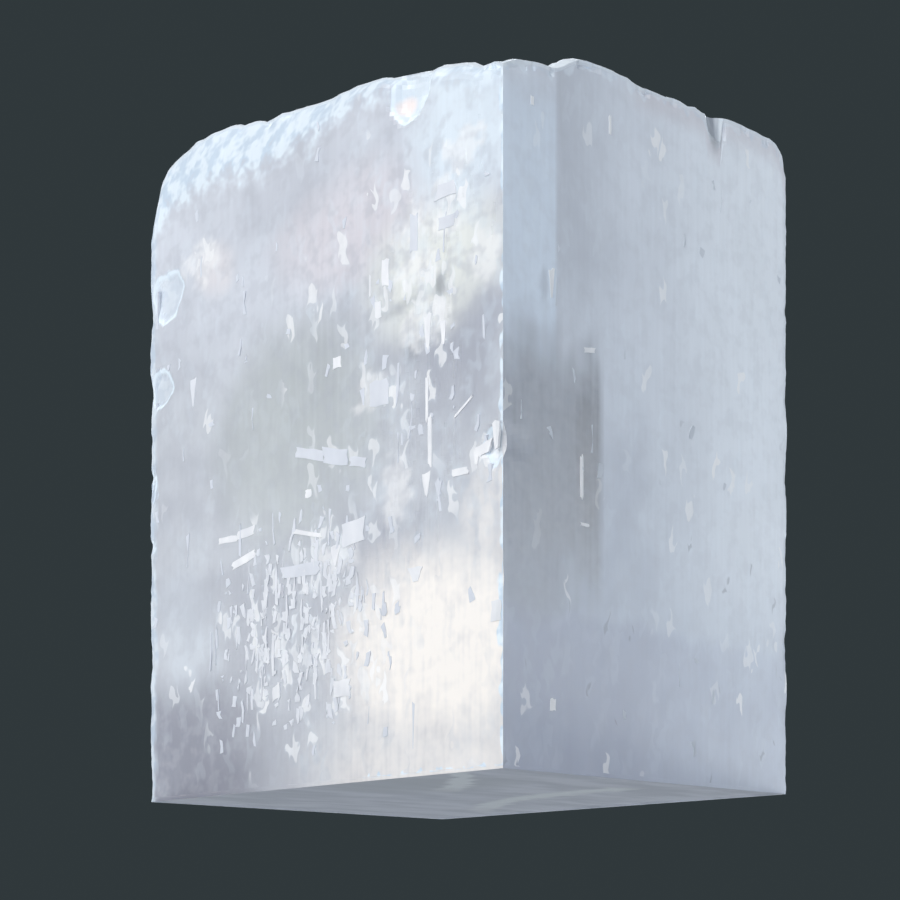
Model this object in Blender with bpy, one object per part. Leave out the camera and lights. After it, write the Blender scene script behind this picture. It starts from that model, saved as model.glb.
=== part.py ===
"""Block of optical calcite: one cleaved piece, standing on its lower cleavage face.

A place in the block is given along its three edge directions from the near bottom corner:
u along the left edge, v along the right edge, and h up the rising edges, all in metres.
"""

import math
from typing import NamedTuple

import bmesh
import bpy
from mathutils import Matrix, Vector, noise

# Driving dimensions: the cleaved block
FACE_ANGLE = math.radians(101.92)  # calcite's obtuse face angle, at the near bottom corner
LEFT_EDGE = 0.0568
RIGHT_EDGE = 0.0505
STOCK_HEIGHT = 0.0950  # the block before its top is broken off

# The broken top, as lengths along the rising edges
BREAK_HEIGHT = 0.0812  # over the near corner, before wear
BREAK_SLOPE = 0.086  # rise away from the near corner, along either edge
BREAK_CROWN = 0.0080  # how far the far corner falls short of that slope
NEAR_WEAR = 0.0027
NEAR_WEAR_REACH = 0.0170
FRONT_ROUNDING = (0.0016, 0.0008)  # reach in from the face, and drop at it
LEFT_ROUNDING = (0.0076, 0.0075)
RIGHT_ROUNDING = (0.0034, 0.0050)
BREAK_CELLS = (46, 42)  # cells of the break along u and v
BREAK_OVERHANG = 0.0030  # how far the cutter runs past the block's sides

# Rhombic ledges of the break: size along the edges, and height, of each generation
LEDGES = ((0.0125, 0.0014), (0.0061, 0.0008), (0.0029, 0.0005))
LEDGE_FADE = 0.0060  # the ledges grow to full height this far in from the two near faces
LEDGE_AT_FACE = 0.3

# The worn foot of the right-hand edge
FOOT_WEAR_HEIGHT = 0.0170
FOOT_WEAR_DEPTH = 0.0017


class Chip(NamedTuple):
    """A flaw on one face: its middle along and up that face, its size on it, and its depth."""

    face: str
    along: float
    up: float
    wide: float
    tall: float
    deep: float


# Bowl-shaped chips: along is measured from the face's edge that starts at u = 0 or v = 0
BOWLS = (
    Chip("left", 0.0130, 0.0775, 0.0068, 0.0060, 0.0012),
    Chip("left", 0.0535, 0.0655, 0.0086, 0.0094, 0.0007),
    Chip("left", 0.0548, 0.0536, 0.0070, 0.0066, 0.0007),
    Chip("left", 0.0572, 0.0415, 0.0026, 0.0072, 0.0011),
    Chip("left", 0.0572, 0.0330, 0.0024, 0.0044, 0.0010),
    Chip("left", 0.0006, 0.0352, 0.0040, 0.0046, 0.0008),
    Chip("left", 0.0004, 0.0205, 0.0016, 0.0030, 0.0005),
    Chip("right", 0.0500, 0.0300, 0.0030, 0.0080, 0.0008),
    Chip("right", 0.0362, 0.0822, 0.0050, 0.0036, 0.0007),
    Chip("right", 0.0496, 0.0006, 0.0036, 0.0030, 0.0012),
    Chip("back_left", 0.0260, 0.0760, 0.0110, 0.0080, 0.0016),
    Chip("back_left", 0.0500, 0.0450, 0.0060, 0.0120, 0.0011),
    Chip("back_right", 0.0190, 0.0780, 0.0130, 0.0074, 0.0017),
    Chip("back_right", 0.0410, 0.0770, 0.0080, 0.0060, 0.0012),
    Chip("back_right", 0.0562, 0.0240, 0.0050, 0.0100, 0.0010),
)

BOWL_STANDOFF = 0.2  # how far a bowl's ball stands off the face, as a share of its depth

# Flat-bottomed ledges, where a thin layer has split off along the cleavage
LEDGE_CHIPS = (
    Chip("left", 0.0272, 0.0376, 0.0104, 0.0026, 0.0004),
    Chip("left", 0.0405, 0.0262, 0.0052, 0.0018, 0.0004),
    Chip("left", 0.0420, 0.0296, 0.0060, 0.0012, 0.0003),
    Chip("left", 0.0236, 0.0306, 0.0034, 0.0020, 0.0004),
    Chip("left", 0.0110, 0.0552, 0.0018, 0.0062, 0.0004),
    Chip("left", 0.0128, 0.0160, 0.0012, 0.0120, 0.0003),
    Chip("right", 0.0088, 0.0610, 0.0042, 0.0260, 0.0003),
    Chip("right", 0.0300, 0.0096, 0.0380, 0.0104, 0.0003),
    Chip("right", 0.0130, 0.0500, 0.0022, 0.0040, 0.0004),
    Chip("back_left", 0.0200, 0.0300, 0.0180, 0.0340, 0.0005),
    Chip("back_left", 0.0360, 0.0600, 0.0120, 0.0110, 0.0004),
    Chip("back_right", 0.0300, 0.0250, 0.0240, 0.0220, 0.0005),
    Chip("back_right", 0.0140, 0.0520, 0.0100, 0.0260, 0.0004),
)

BLOCK_COLOUR = (0.80, 0.83, 0.88, 1.0)
BLOCK_ROUGHNESS = 0.22
BLOCK_IOR = 1.62
BLOCK_TRANSMISSION = 0.55


def edge_directions():
    """Unit vectors along the left, right and rising edges; the first two lie level."""
    half = FACE_ANGLE / 2
    left = Vector((-math.sin(half), math.cos(half), 0))
    right = Vector((math.sin(half), math.cos(half), 0))
    lean = math.cos(FACE_ANGLE) / math.cos(half)
    return left, right, Vector((0, lean, math.sqrt(1 - lean * lean)))


LEFT_DIRECTION, RIGHT_DIRECTION, RISE_DIRECTION = edge_directions()


def place(u, v, h):
    """Position of a place in the block."""
    return u * LEFT_DIRECTION + v * RIGHT_DIRECTION + h * RISE_DIRECTION


def rounding_drop(distance, reach, drop):
    """Fall of the break near an edge, as a quarter of an ellipse."""
    inward = 1 - min(max(distance, 0) / reach, 1)
    return drop * (1 - math.sqrt(1 - inward * inward))


def ledge_height(u, v):
    """Stepped relief of the break: cells that follow the cleavage, each at its own level."""
    height = 0
    for generation, (size, rise) in enumerate(LEDGES):
        shift = 7.3 * generation
        cell = Vector((u / size + shift, 1.2 * v / size - shift, 0.5))
        height += rise * (noise.cell(cell) - 0.5)
    inward = min(min(u, v) / LEDGE_FADE, 1)
    return height * (LEDGE_AT_FACE + (1 - LEDGE_AT_FACE) * inward)


def break_height(u, v):
    """Length of the block along its rising edges at a point of its plan."""
    u = min(max(u, 0), LEFT_EDGE)
    v = min(max(v, 0), RIGHT_EDGE)
    height = BREAK_HEIGHT + BREAK_SLOPE * (u + v)
    height -= BREAK_CROWN * (u / LEFT_EDGE) * (v / RIGHT_EDGE)
    height += ledge_height(u, v)
    inward = 1 - min((u + v) / NEAR_WEAR_REACH, 1)
    height -= NEAR_WEAR * inward * inward * (3 - 2 * inward)
    height -= rounding_drop(u, *FRONT_ROUNDING)
    height -= rounding_drop(v, *FRONT_ROUNDING)
    height -= rounding_drop(LEFT_EDGE - u, *LEFT_ROUNDING)
    height -= rounding_drop(RIGHT_EDGE - v, *RIGHT_ROUNDING)
    return height


def face_frame(face):
    """Corner, direction along, edge length and outward normal of one upright face."""
    corners = {
        "left": ((0, 0), LEFT_DIRECTION, RIGHT_DIRECTION),
        "right": ((0, 0), RIGHT_DIRECTION, LEFT_DIRECTION),
        "back_left": ((LEFT_EDGE, 0), RIGHT_DIRECTION, -LEFT_DIRECTION),
        "back_right": ((0, RIGHT_EDGE), LEFT_DIRECTION, -RIGHT_DIRECTION),
    }
    (u, v), along, inward = corners[face]
    normal = along.cross(RISE_DIRECTION).normalized()
    if normal.dot(inward) > 0:
        normal.negate()
    return place(u, v, 0), along, normal


def new_collection(name):
    collection = bpy.data.collections.new(name)
    bpy.context.scene.collection.children.link(collection)
    return collection


def object_from_bmesh(name, bm, collection):
    """Turns the bmesh into an object whose faces all point out."""
    bmesh.ops.recalc_face_normals(bm, faces=bm.faces)
    mesh = bpy.data.meshes.new(name)
    bm.to_mesh(mesh)
    bm.free()
    obj = bpy.data.objects.new(name, mesh)
    collection.objects.link(obj)
    return obj


def cutter_from_bmesh(name, bm, collection):
    cutter = object_from_bmesh(name, bm, collection)
    cutter.hide_render = True
    cutter.display_type = "WIRE"
    return cutter


def box_between(x_axis, y_axis, z_axis, corner):
    """Closed skewed box that runs from the corner along three edge vectors."""
    bm = bmesh.new()
    bmesh.ops.create_cube(bm, size=1)
    skew = Matrix((x_axis, y_axis, z_axis)).transposed().to_4x4()
    middle = corner + (x_axis + y_axis + z_axis) / 2
    bmesh.ops.transform(bm, matrix=Matrix.Translation(middle) @ skew, verts=bm.verts)
    return bm


def calcite_material():
    material = bpy.data.materials.new("milky_calcite")
    material.use_nodes = True
    shader = material.node_tree.nodes["Principled BSDF"]
    shader.inputs["Base Color"].default_value = BLOCK_COLOUR
    shader.inputs["Metallic"].default_value = 0
    shader.inputs["Roughness"].default_value = BLOCK_ROUGHNESS
    shader.inputs["IOR"].default_value = BLOCK_IOR
    shader.inputs["Transmission Weight"].default_value = BLOCK_TRANSMISSION
    return material


def make_block(collection):
    """The cleaved stock, a true calcite rhomb before its top is broken and its edges chipped."""
    bm = box_between(
        LEFT_EDGE * LEFT_DIRECTION,
        RIGHT_EDGE * RIGHT_DIRECTION,
        STOCK_HEIGHT * RISE_DIRECTION,
        Vector((0, 0, 0)),
    )
    block = object_from_bmesh("calcite_block", bm, collection)
    block.data.materials.append(calcite_material())
    return block


def make_break_cutter(collection):
    """Everything above the rough break that ends the block."""
    bm = bmesh.new()
    cells_u, cells_v = BREAK_CELLS
    bmesh.ops.create_grid(bm, x_segments=cells_u, y_segments=cells_v, size=0.5)
    for vert in bm.verts:
        u = (vert.co.x + 0.5) * (LEFT_EDGE + 2 * BREAK_OVERHANG) - BREAK_OVERHANG
        v = (vert.co.y + 0.5) * (RIGHT_EDGE + 2 * BREAK_OVERHANG) - BREAK_OVERHANG
        vert.co = place(u, v, break_height(u, v))
    top = bmesh.ops.extrude_face_region(bm, geom=bm.faces[:])
    lid = [item for item in top["geom"] if isinstance(item, bmesh.types.BMVert)]
    bmesh.ops.translate(bm, vec=STOCK_HEIGHT / 3 * RISE_DIRECTION, verts=lid)
    return cutter_from_bmesh("rough_break", bm, collection)


def make_foot_wear_cutter(collection):
    """Tapering wedge off the foot of the right-hand edge."""
    foot = place(0, RIGHT_EDGE, 0)
    outward = (RIGHT_DIRECTION - LEFT_DIRECTION).normalized()
    along = RISE_DIRECTION.cross(outward)
    slant = FOOT_WEAR_HEIGHT * RISE_DIRECTION + FOOT_WEAR_DEPTH * outward
    corner = foot - FOOT_WEAR_DEPTH * outward - 0.012 * along - 0.5 * slant
    bm = box_between(0.012 * outward, 0.024 * along, 2 * slant, corner)
    return cutter_from_bmesh("foot_wear", bm, collection)


def make_bowl_cutter(number, chip, collection):
    """Flattened ball that leaves a shell-shaped chip."""
    corner, along, normal = face_frame(chip.face)
    bm = bmesh.new()
    bmesh.ops.create_icosphere(bm, subdivisions=2, radius=0.5)
    depth = 2 * (1 + BOWL_STANDOFF) * chip.deep * normal
    shape = Matrix((chip.wide * along, chip.tall * RISE_DIRECTION, depth))
    middle = corner + chip.along * along + chip.up * RISE_DIRECTION
    middle += BOWL_STANDOFF * chip.deep * normal
    turn = Matrix.Rotation(0.7 + number, 4, Vector((0.3, 0.5, 0.8)))
    matrix = Matrix.Translation(middle) @ shape.transposed().to_4x4() @ turn
    bmesh.ops.transform(bm, matrix=matrix, verts=bm.verts)
    return cutter_from_bmesh(f"bowl_{number:02d}", bm, collection)


def make_ledge_cutter(number, chip, collection):
    """Slab that leaves a flat-bottomed ledge with its sides along the cleavage."""
    corner, along, normal = face_frame(chip.face)
    start = corner + (chip.along - chip.wide / 2) * along
    start += (chip.up - chip.tall / 2) * RISE_DIRECTION - chip.deep * normal
    bm = box_between(chip.wide * along, chip.tall * RISE_DIRECTION, 4 * chip.deep * normal, start)
    return cutter_from_bmesh(f"ledge_{number:02d}", bm, collection)


def cut(block, cutter):
    modifier = block.modifiers.new(f"cut_{cutter.name}", "BOOLEAN")
    modifier.operation = "DIFFERENCE"
    modifier.solver = "EXACT"
    modifier.object = cutter


def seat_on_origin(block, cutters):
    """Stands the block with the middle of its box's underside at the origin."""
    seat = bpy.data.objects.new("seat", None)
    bpy.context.scene.collection.objects.link(seat)
    for obj in (block, *cutters):
        obj.parent = seat
    bpy.context.view_layer.update()
    finished = block.evaluated_get(bpy.context.evaluated_depsgraph_get())
    corners = [Vector(corner) for corner in finished.bound_box]
    low = Vector([min(corner[axis] for corner in corners) for axis in range(3)])
    high = Vector([max(corner[axis] for corner in corners) for axis in range(3)])
    seat.location = (-(low.x + high.x) / 2, -(low.y + high.y) / 2, -low.z)


def main():
    for obj in list(bpy.data.objects):
        bpy.data.objects.remove(obj)
    parts = new_collection("optical_calcite_block")
    cutter_collection = new_collection("cutters")
    cutter_collection.hide_render = True

    block = make_block(parts)
    cutters = [make_break_cutter(cutter_collection), make_foot_wear_cutter(cutter_collection)]
    cutters += [make_bowl_cutter(i, chip, cutter_collection) for i, chip in enumerate(BOWLS)]
    cutters += [make_ledge_cutter(i, chip, cutter_collection) for i, chip in enumerate(LEDGE_CHIPS)]
    for cutter in cutters:
        cut(block, cutter)
    seat_on_origin(block, cutters)


main()
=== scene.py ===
"""Looks of the optical calcite block: one cleaved crystal, milky inside, under a rough broken top.

A place in the block is given along its three edge directions from the near bottom corner:
u along the left edge, v along the right edge, and h up the rising edges. Sizes here are in
millimetres, which MM turns into metres.
"""

import math
import random
from typing import NamedTuple

import bmesh
import bpy
from mathutils import Matrix, Vector, noise
from mathutils.bvhtree import BVHTree


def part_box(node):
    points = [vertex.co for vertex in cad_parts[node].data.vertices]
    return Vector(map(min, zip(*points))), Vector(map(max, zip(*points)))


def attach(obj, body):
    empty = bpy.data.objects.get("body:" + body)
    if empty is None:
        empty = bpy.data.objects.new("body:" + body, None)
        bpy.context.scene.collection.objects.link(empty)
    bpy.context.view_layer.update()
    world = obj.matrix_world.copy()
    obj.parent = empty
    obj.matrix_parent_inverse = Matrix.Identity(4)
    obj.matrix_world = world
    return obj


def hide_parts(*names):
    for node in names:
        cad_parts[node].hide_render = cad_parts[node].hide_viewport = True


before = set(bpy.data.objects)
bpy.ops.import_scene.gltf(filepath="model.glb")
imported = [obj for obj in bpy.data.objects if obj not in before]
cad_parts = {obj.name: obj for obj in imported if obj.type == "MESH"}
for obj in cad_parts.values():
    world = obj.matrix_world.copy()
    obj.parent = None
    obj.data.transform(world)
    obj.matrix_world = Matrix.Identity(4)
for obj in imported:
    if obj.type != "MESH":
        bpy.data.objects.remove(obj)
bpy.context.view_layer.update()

MM = 0.001

# The cleaved block: calcite's obtuse face angle, and the two lower edges at the near corner
FACE_ANGLE = math.radians(101.92)
LEFT_EDGE = 56.8
RIGHT_EDGE = 50.5

# Cells of the fine surface along u, v and h, and how much closer they lie at the edges
SURFACE_CELLS = (112, 100, 150)
EDGE_CROWDING = 0.35

# How far in from a side the surfaces next to it follow its setback
FOLLOW_WIDTH = 5.0

# Plates split off the faces, each generation's width, height and greatest depth; the share of
# them that shows on the right face; and how far the underside swells inwards
UPRIGHT_PLATES = ((9.0, 31.0, 0.030), (3.1, 12.0, 0.018))
SPLINTER_PLATES = ((1.3, 4.4, 0.09), (0.8, 2.1, 0.05))
RIGHT_PLATE_SHARE = 0.5
BREAK_PLATES = ((9.0, 7.0, 0.45), (3.1, 2.6, 0.35), (1.2, 1.1, 0.22))
FOOT_PLATES = ((19.0, 7.0, 0.02), (7.0, 3.1, 0.012))
FOOT_SWELL = 0.12

# Chips: the least depth that counts and the most that is kept, how far their walls are evened,
# the strip at the foot and under the top that stays whole, and the lowest place that is sounded
CHIP_LEAST = 0.38
CHIP_MOST = 1.8
CHIP_EVENING = 0.3
WHOLE_FOOT = 1
WHOLE_TOP = 0.3
SOUNDED_LEAST = 0.5

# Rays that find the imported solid: how far off a face they start and how far they reach, and, from
# over the block, how high up they start and how far inside its edges
SOUNDING_OUT = 3
SOUNDING_REACH = 6
OVER_THE_TOP = 120
RAY_INSET = 0.02

# The bruised band under the top of the left face: how far it is set back, and its depths at the
# two places along the edge between which it widens; how far and how wide the upright edges are worn
BAND_SETBACK = 0.9
BAND_LEAST = 1.8
BAND_MOST = 6.2
BAND_WIDENS = (16, 42)
EDGE_WEAR = 0.40
WORN_WIDTH = 0.8

# Flakes and splinters: how far they stand off the faces and root in the stone, and the steps
# along each side of a flake with how far its outline strays
SLIVER_STAND = 0.03
SLIVER_ROOT = 0.40
FLAKE_STEPS = 3
FLAKE_RAGGED = (0.82, 1.08)

# Splinters: how many lie on a square metre where the cleavage is wholly parted, their sizes
# in metres, and how far they turn on the face, in radians
SLIVER_THICKNESS = (SLIVER_ROOT + SLIVER_STAND) * MM
SHORT_SPLINTERS = dict(
    Density=620000.0, Width=0.42 * MM, Height=1.5 * MM, Thickness=SLIVER_THICKNESS, Lean=0.28)
LONG_SPLINTERS = dict(
    Density=160000.0, Width=0.22 * MM, Height=4.2 * MM, Thickness=SLIVER_THICKNESS, Lean=0.04)

# Room that splinters keep to the foot and to the top, besides their own height
SPLINTER_CLEARANCE = 0.6

# Where cleavage is parted on the left face, and where splinters gather on it: middle and reach
PARTED = ((27, 19), (26, 19))
LOW_SPLINTERS = ((31, 19), (18, 19))
HIGH_SPLINTERS = ((12, 46), (16, 24))

# Patch that the splinters are scattered on: its cells, side margins, lowest place and height
PATCH_COLUMNS = 28
PATCH_ROWS = 76
PATCH_MARGIN = 1.0
PATCH_START = 1
PATCH_HEIGHT = 78

# Places in the noise field, kept apart so that no two patterns are alike
LEFT_MILK, RIGHT_MILK, BACK_MILK, FOOT_MILK = 3, 8, 12, 15
VEIN_BEND, TORN_ACROSS, TORN_UP, BLOTS = 17, 21, 24, 27
STREAKED, SHREDDED = 4, 6
BREAK_FIELD, FOOT_FIELD, BAND_FIELD, SWELL_FIELD = 44, 55, 66, 77
WANDER_FIELDS = (0.25, 40.5)

# The same for the patterns of the upright sides, beside each side's own seed
RIM_FIELD, FINE_RIM_FIELD, SPLINTER_FIELD, PARTED_FIELD = 3, 4, 7, 0.5
WEAR_FIELD, FINE_WEAR_FIELD = 0, 5

# The unit box's second and third axes, which become the block's right and rising edges
ALONG_RIGHT = 1
ALONG_RISE = 2

SQUARE = ((-1, -1), (1, -1), (1, 1), (-1, 1))

# Refraction of the clear stone and of the milk
CALCITE_IOR = 1.658
MILK_IOR = 1.49

# Grain of the noises across and up: streaks, a wobble, patches and the cells of the dashes
STREAK_GRAIN = (1.3, 0.09)
WOBBLE_GRAIN = (0.9, 0.5)
PATCH_GRAIN = (0.42, 0.38)
DASH_GRAIN = (0.62, 0.24)
SPLINTER_GRAIN = (0.5, 0.22)

# The chip at the top of the left face and the light in it: middle and reach
TOP_CHIP = ((14.4, 76.6), (9, 9))
CHIP_LIGHT = ((14.3, 77.0), (1.7, 1.4))

# Shifts along the noise that give the left face and the back right one a grain of their own, and
# where along the right edge the back one begins
LEFT_SHIFT = 61
BACK_SHIFT = 37
BACK_SEAM = RIGHT_EDGE - 2.0
SEAM_BLUR = 0.1

# Where the camera stands, from the near upright edge
CAMERA_DISTANCE = 153.6
CAMERA_UP_EDGE = 34.5
CAMERA_ASIDE = -5.75
CAMERA_TURN = math.radians(-1.8)
CAMERA_LENS = 56.64
SENSOR_WIDTH = 36.0
CLIP_START = 0.005

# The floor: its reach and its drop under the block in metres, and its opening's inset in millimetres
FLOOR_REACH = 4.0
FLOOR_DROP = 0.0001
OPENING_INSET = 0.3


def edge_directions():
    """Unit vectors along the left, right and rising edges; the first two lie level."""
    half = FACE_ANGLE / 2
    left = Vector((-math.sin(half), math.cos(half), 0))
    right = Vector((math.sin(half), math.cos(half), 0))
    lean = math.cos(FACE_ANGLE) / math.cos(half)
    return left, right, Vector((0, lean, math.sqrt(1 - lean * lean)))


def near_foot():
    """The near bottom corner, worked out from the solid's box."""
    low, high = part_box("calcite_block")
    half = FACE_ANGLE / 2
    x = low[0] + LEFT_EDGE * MM * math.sin(half)
    y = high[1] - (LEFT_EDGE + RIGHT_EDGE) * MM * math.cos(half)
    return Vector((x, y, low[2]))


LEFT_DIRECTION, RIGHT_DIRECTION, RISE_DIRECTION = edge_directions()
NEAR_FOOT = near_foot()


def place(u, v, h):
    """Position of a place in the block."""
    step = u * LEFT_DIRECTION + v * RIGHT_DIRECTION + h * RISE_DIRECTION
    return NEAR_FOOT + MM * step


class Face:
    """One upright side of the block: where it starts, which way it runs and faces, and its width."""

    def __init__(self, seed, width, corner, along, inward, plate_share=1.0):
        self.seed = seed
        self.width = width
        self.corner = corner
        self.along = along
        self.plate_share = plate_share
        self.normal = along.cross(RISE_DIRECTION).normalized()
        if self.normal.dot(inward) > 0:
            self.normal.negate()
        # The level step that sets the side back by 1, measured square to it
        level = Vector((self.normal.x, self.normal.y, 0))
        self.inward = -level / level.length_squared


LEFT_FACE = Face(0, LEFT_EDGE, NEAR_FOOT, LEFT_DIRECTION, RIGHT_DIRECTION)
RIGHT_FACE = Face(11, RIGHT_EDGE, NEAR_FOOT, RIGHT_DIRECTION, LEFT_DIRECTION, RIGHT_PLATE_SHARE)
BACK_LEFT_FACE = Face(22, RIGHT_EDGE, place(LEFT_EDGE, 0, 0), RIGHT_DIRECTION, -LEFT_DIRECTION)
BACK_RIGHT_FACE = Face(33, LEFT_EDGE, place(0, RIGHT_EDGE, 0), LEFT_DIRECTION, -RIGHT_DIRECTION)


def smooth(low, high, value):
    """0 at low, 1 at high and a smooth rise between them; low may be the larger."""
    share = min(max((value - low) / (high - low), 0), 1)
    return share * share * (3 - 2 * share)


def on_face(face, across, up, out):
    """Position of a place on a face, out millimetres off it."""
    step = across * face.along + up * RISE_DIRECTION + out * face.normal
    return face.corner + MM * step


def object_of(bm, name):
    """Object in the scene with a bmesh as its mesh, which ends the bmesh."""
    mesh = bpy.data.meshes.new(name)
    bm.to_mesh(mesh)
    bm.free()
    made = bpy.data.objects.new(name, mesh)
    bpy.context.scene.collection.objects.link(made)
    return made


# ---------------- ways to wire nodes


class Value:
    """A shader number. Each sum on it adds a Math node."""

    def __init__(self, finish, socket):
        self.finish = finish
        self.socket = socket

    def maths(self, operation, first, second=0.0):
        """What one Math node makes of one or two numbers."""
        node = self.finish.node("ShaderNodeMath", {"operation": operation}, {0: first, 1: second})
        return Value(self.finish, node.outputs[0])

    def __add__(self, other):
        return self.maths("ADD", self, other)

    def __radd__(self, other):
        return self.maths("ADD", other, self)

    def __sub__(self, other):
        return self.maths("SUBTRACT", self, other)

    def __rsub__(self, other):
        return self.maths("SUBTRACT", other, self)

    def __mul__(self, other):
        return self.maths("MULTIPLY", self, other)

    def __rmul__(self, other):
        return self.maths("MULTIPLY", other, self)

    def least(self, other):
        return self.maths("MINIMUM", self, other)

    def most(self, other):
        return self.maths("MAXIMUM", self, other)

    def size(self):
        return self.maths("ABSOLUTE", self)

    def rise(self, low, high):
        """0 at low, 1 at high and a smooth rise between them; low may be the larger."""
        settings = {"interpolation_type": "SMOOTHSTEP"}
        inputs = {"Value": self, "From Min": low, "From Max": high}
        return Value(self.finish, self.finish.node("ShaderNodeMapRange", settings, inputs).outputs[0])


class Wiring:
    """A node tree in the making."""

    def __init__(self, tree):
        self.tree = tree
        tree.nodes.clear()

    def node(self, kind, settings=None, inputs=None):
        """Makes any node: its settings first, then the values or links of its sockets."""
        made = self.tree.nodes.new(kind)
        for name, value in (settings or {}).items():
            setattr(made, name, value)
        for name, value in (inputs or {}).items():
            if isinstance(value, Value):
                value = value.socket
            if isinstance(value, bpy.types.NodeSocket):
                self.tree.links.new(value, made.inputs[name])
            else:
                made.inputs[name].default_value = value
        return made


class Finish(Wiring):
    """A material in the making."""

    def __init__(self, name):
        self.material = bpy.data.materials.new(name)
        self.material.use_nodes = True
        super().__init__(self.material.node_tree)

    def attribute(self, name):
        return Value(self, self.node("ShaderNodeAttribute", {"attribute_name": name}).outputs["Fac"])

    def flat(self, x, y):
        """Place on a flat pattern."""
        return self.node("ShaderNodeCombineXYZ", None, {0: x, 1: y}).outputs[0]

    def noise(self, x, y, grain, detail, roughness=0.5):
        """Clouds from 0 to 1, finer the larger their grain is."""
        middle = self.flat(x * grain[0], y * grain[1])
        inputs = {"Vector": middle, "Scale": 1.0, "Detail": detail, "Roughness": roughness}
        node = self.node("ShaderNodeTexNoise", {"noise_dimensions": "2D"}, inputs)
        return Value(self, node.outputs["Fac"])

    def cells(self, x, y):
        """Square-cornered cells as cleavage makes: distance from the middle, and three chances a cell."""
        settings = {"feature": "F1", "distance": "CHEBYCHEV", "voronoi_dimensions": "2D"}
        node = self.node("ShaderNodeTexVoronoi", settings, {"Vector": self.flat(x, y), "Scale": 1.0})
        parts = self.node("ShaderNodeSeparateColor", None, {"Color": node.outputs["Color"]})
        return Value(self, node.outputs["Distance"]), [Value(self, parts.outputs[i]) for i in range(3)]

    def spot(self, place_on_face, middle, reach):
        """1 at a middle place, and a smooth fall to 0 at its reach across and up."""
        settings = {"operation": "MULTIPLY_ADD"}
        shares = (1 / reach[0], 1 / reach[1], 0)
        starts = (-middle[0] / reach[0], -middle[1] / reach[1], 0)
        inputs = {0: place_on_face, 1: shares, 2: starts}
        away = self.node("ShaderNodeVectorMath", settings, inputs).outputs[0]
        settings = {"operation": "DOT_PRODUCT"}
        squared = self.node("ShaderNodeVectorMath", settings, {0: away, 1: away}).outputs["Value"]
        return Value(self, squared).rise(1, 0)

    def blend(self, share, first, second):
        """Colour that goes from first to second as share goes from 0 to 1."""
        first, second = ((*c, 1) if isinstance(c, tuple) else c for c in (first, second))
        settings = {"data_type": "RGBA", "blend_type": "MIX"}
        return self.node("ShaderNodeMix", settings, {0: share, 6: first, 7: second}).outputs[2]

    def milky_stone(self, share, colour, roughness, clear_tint, clear_roughness):
        """Milk over clear stone, mixed by share."""
        milky = self.node("ShaderNodeBsdfPrincipled", None, {
            "Base Color": colour,
            "Roughness": roughness,
            "IOR": MILK_IOR,
        })
        clear = self.node("ShaderNodeBsdfPrincipled", None, {
            "Base Color": clear_tint,
            "Roughness": clear_roughness,
            "IOR": CALCITE_IOR,
            "Transmission Weight": 1.0,
        })
        shaders = {0: share, 1: clear.outputs[0], 2: milky.outputs[0]}
        return self.node("ShaderNodeMixShader", None, shaders)

    def close(self, surface, volume=None):
        """Joins the surface and the volume to the output, and gives the finished material."""
        inputs = {"Surface": surface.outputs[0]}
        if volume:
            inputs["Volume"] = volume.outputs[0]
        self.node("ShaderNodeOutputMaterial", None, inputs)
        return self.material


def edge_coordinates(finish):
    """u, v and h of a shaded point, in millimetres."""
    position = finish.node("ShaderNodeTexCoord").outputs["Object"]
    settings = {"operation": "SUBTRACT"}
    from_foot = finish.node("ShaderNodeVectorMath", settings, {0: position, 1: NEAR_FOOT}).outputs[0]
    directions = (LEFT_DIRECTION, RIGHT_DIRECTION, RISE_DIRECTION)
    found = []
    for axis, own in enumerate(directions):
        across = directions[axis - 2].cross(directions[axis - 1])
        reading = across / (across.dot(own) * MM)
        settings = {"operation": "DOT_PRODUCT"}
        node = finish.node("ShaderNodeVectorMath", settings, {0: from_foot, 1: reading})
        found.append(Value(finish, node.outputs["Value"]))
    return found


# ---------------- the stone's own colours

# Colours of the milk, from the left face's to the right face's and the foot's
LAVENDER = (0.44, 0.46, 0.52)
PALE = (0.57, 0.60, 0.65)
MIST = (0.70, 0.735, 0.81)
# Painted shade of the low far corner of the left face
PAINTED_CORNER_SHADE = (0.17, 0.175, 0.235)
# Slate: the colour of painted shade and of the dark specks
SLATE = (0.155, 0.175, 0.22)
ROSE = (0.76, 0.68, 0.71)
PEACH = (0.98, 0.88, 0.85)
STRAW = (0.88, 0.90, 0.84)
MOSS = (0.52, 0.565, 0.56)
# Colour of the painted warm glow
PAINTED_GLOW_TINT = (0.96, 0.92, 0.875)
FROST = (0.80, 0.90, 0.98)
RIME = (0.57, 0.70, 0.83)
CHALK = (0.70, 0.745, 0.79)
WHITE = (1.0, 1.0, 1.0)
STEEL = (0.40, 0.45, 0.55)
HAZE = (0.55, 0.61, 0.70)
AIR = (0.72, 0.77, 0.85)
ICE = (0.84, 0.90, 0.97)
BLUSH = (0.62, 0.60, 0.65)
VIOLET = (0.44, 0.48, 0.63)
SKY = (0.66, 0.76, 0.88)
DEEP = (0.34, 0.41, 0.54)
PEARL = (0.66, 0.72, 0.85)
MURK = (0.25, 0.32, 0.38)
VEIN = (0.92, 0.98, 1.0)

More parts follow.
